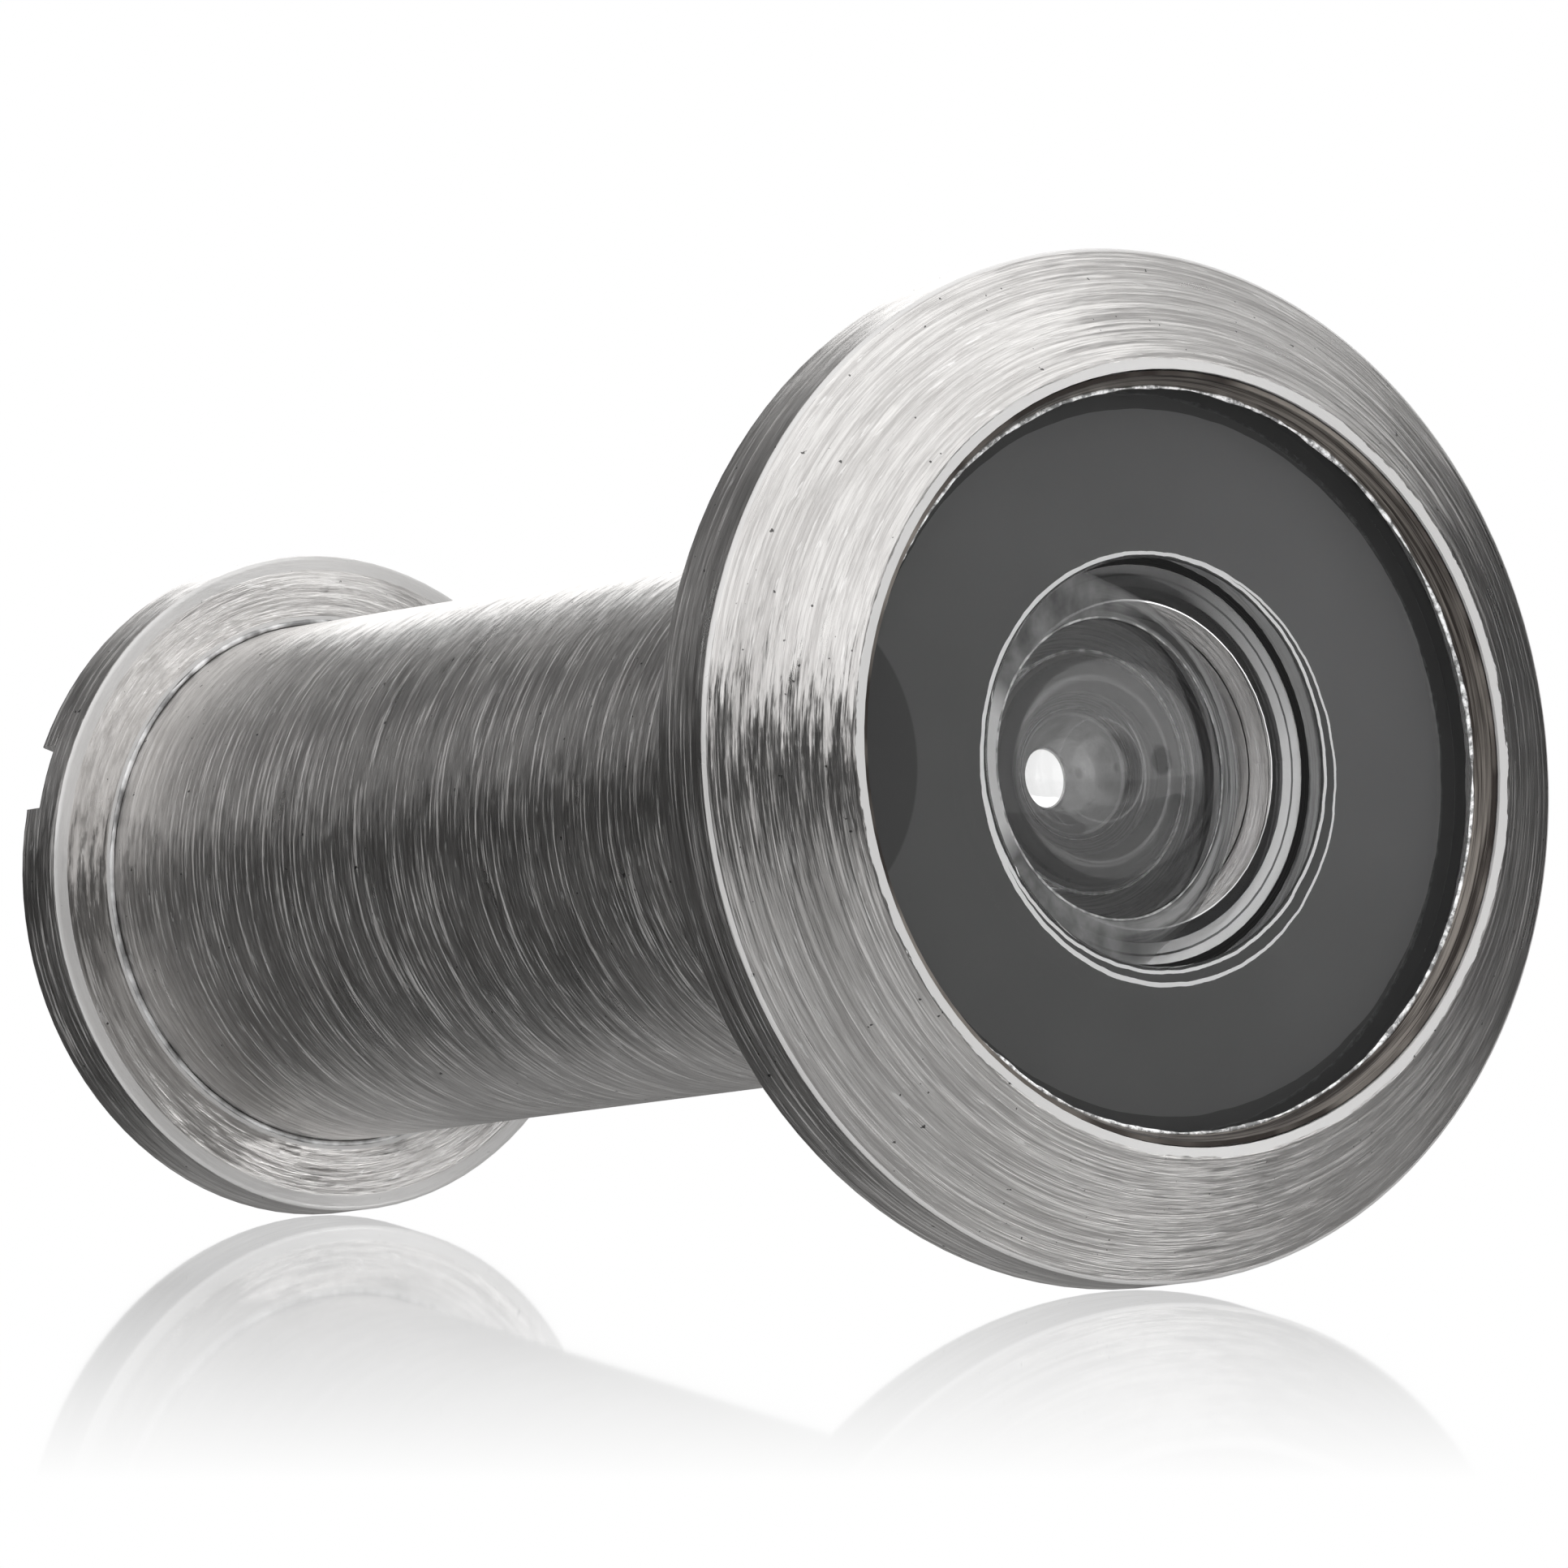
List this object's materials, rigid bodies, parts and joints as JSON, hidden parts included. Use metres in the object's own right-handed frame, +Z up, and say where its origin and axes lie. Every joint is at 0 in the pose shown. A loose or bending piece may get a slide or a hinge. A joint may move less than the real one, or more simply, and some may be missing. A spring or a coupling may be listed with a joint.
{
  "type": "door viewer",
  "caption": "Peephole door viewer: domed head with a wide glass lens on a 14 mm barrel, and a screw-in rear tube with slotted flange and eyepiece.",
  "frame": {"origin": "centre of the head's seat face, which lies on the outside of the door", "axes": "+Y along the viewer's axis, from the street side to the room side; +Z up"},
  "size_m": [0.0266, 0.0414, 0.0266],
  "materials": {
    "satin_nickel": "turned brass, satin nickel plated, brushed round the axis",
    "dark_ring": "dull grey-brown oxidised ring",
    "clear_sealant": "clear sealing bead",
    "lens_glass": "polished optical glass",
    "black_mask": "black painted washer with a bare bright inner edge",
    "black_cell": "black moulded plastic",
    "black_rubber": "black rubber"
  },
  "bodies": {
    "front": {"front_housing": "satin_nickel", "glass_retaining_ring": "dark_ring", "objective_seal": "clear_sealant", "objective_lens": "lens_glass", "objective_mask": "black_mask", "lens_cell": "black_cell", "front_spacer": "satin_nickel", "second_lens": "lens_glass", "rear_spacer": "black_cell", "third_lens": "lens_glass"},
    "carriage": {"eyepiece_lens": "lens_glass"},
    "rear": {"rear_housing": "satin_nickel", "eyepiece_ring": "black_cell", "eyepiece_gasket": "black_rubber"}
  },
  "joints": [
    {"name": "rear_travel", "type": "slide", "parent": "front", "child": "carriage", "axis": [0, 1, 0], "range_m": [0, 0.0366]},
    {"name": "rear_turn", "type": "hinge", "parent": "carriage", "child": "rear", "pos_m": [0, 0.0353, 0], "axis": [0, 1, 0], "range_deg": [0, 13140]}
  ],
  "couplings": [
    {"joint": "rear_travel", "follows": "rear_turn", "m_per_rad": 0.00015915}
  ]
}
